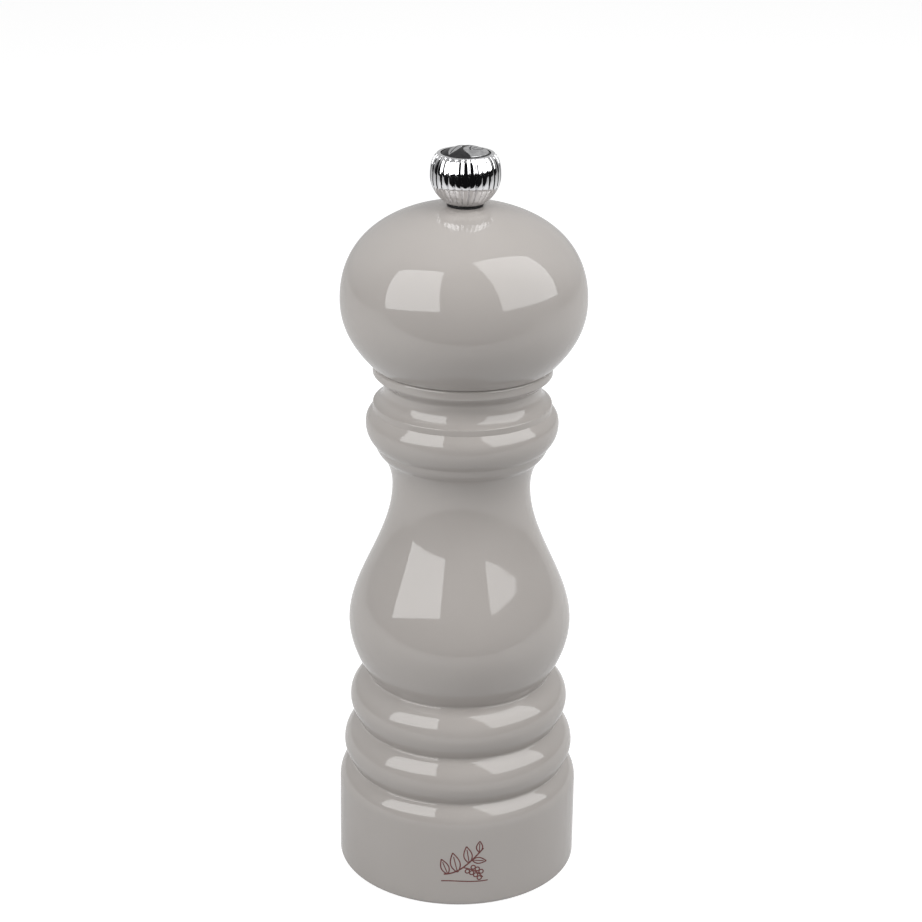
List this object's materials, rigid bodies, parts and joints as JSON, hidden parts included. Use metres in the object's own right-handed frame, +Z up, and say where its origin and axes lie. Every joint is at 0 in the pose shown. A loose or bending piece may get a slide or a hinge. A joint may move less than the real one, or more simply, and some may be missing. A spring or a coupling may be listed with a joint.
{
  "type": "pepper mill",
  "caption": "Turned wooden pepper mill: a rotating head drives steel burrs through a square shaft, and a fluted knob on top sets the grind and releases the head for filling.",
  "frame": {"origin": "centre of the foot on the surface the mill stands on", "axes": "+Z up along the mill's axis, -Y towards the front that carries the printed mark"},
  "size_m": [0.0582, 0.0582, 0.18],
  "materials": {
    "grey_lacquer": "high-gloss warm grey lacquer on turned beech, with faint orange peel",
    "burr_steel": "dark hardened steel, cut teeth, satin",
    "pressed_steel": "pressed sheet steel, satin",
    "shaft_steel": "drawn square bar with lengthwise draw lines",
    "spring_steel": "hard-drawn wire, smooth",
    "zinc_steel": "bright zinc plate",
    "brass": "turned brass, fine turning marks",
    "black_ring": "black moulded ring, semi-matt",
    "chrome": "mirror chrome plate on a fluted casting",
    "cap_disc": "polished two-tone disc, dark lacquer on chromed metal"
  },
  "bodies": {
    "body": {"body_shell": "grey_lacquer", "outer_burr": "burr_steel", "guide_spider": "pressed_steel", "retaining_plate": "pressed_steel", "retaining_screws": "zinc_steel"},
    "turning_core": {"guide_bush": "brass", "spring": "spring_steel"},
    "shaft": {"drive_shaft": "shaft_steel", "inner_burr": "burr_steel", "spring_washer": "zinc_steel", "burr_washer": "zinc_steel", "burr_clip": "spring_steel"},
    "head": {"head_shell": "grey_lacquer", "drive_plate": "pressed_steel", "drive_plate_screws": "zinc_steel", "thrust_washer": "zinc_steel"},
    "knob_ring": {"knob_washer": "black_ring"},
    "knob": {"knob_shell": "chrome", "knob_insert": "brass", "knob_cap": "cap_disc"}
  },
  "joints": [
    {"name": "head_turn", "type": "hinge", "parent": "body", "child": "turning_core", "pos_m": [0, 0, 0.034], "axis": [0, 0, 1], "continuous": true},
    {"name": "burr_lift", "type": "slide", "parent": "turning_core", "child": "shaft", "axis": [0, 0, 1], "range_m": [-0.0008, 0.0004], "deforming": ["spring"]},
    {"name": "head_lift", "type": "slide", "parent": "turning_core", "child": "head", "axis": [0, 0, 1], "range_m": [0, 0.075]},
    {"name": "knob_lift", "type": "slide", "parent": "head", "child": "knob_ring", "axis": [0, 0, 1], "range_m": [0, 0.025]},
    {"name": "knob_turn", "type": "hinge", "parent": "knob_ring", "child": "knob", "pos_m": [0, 0, 0.167], "axis": [0, 0, -1], "range_deg": [-370, 190]}
  ],
  "couplings": [
    {"joint": "knob_turn", "follows": "burr_lift", "rad_per_m": 7854}
  ]
}
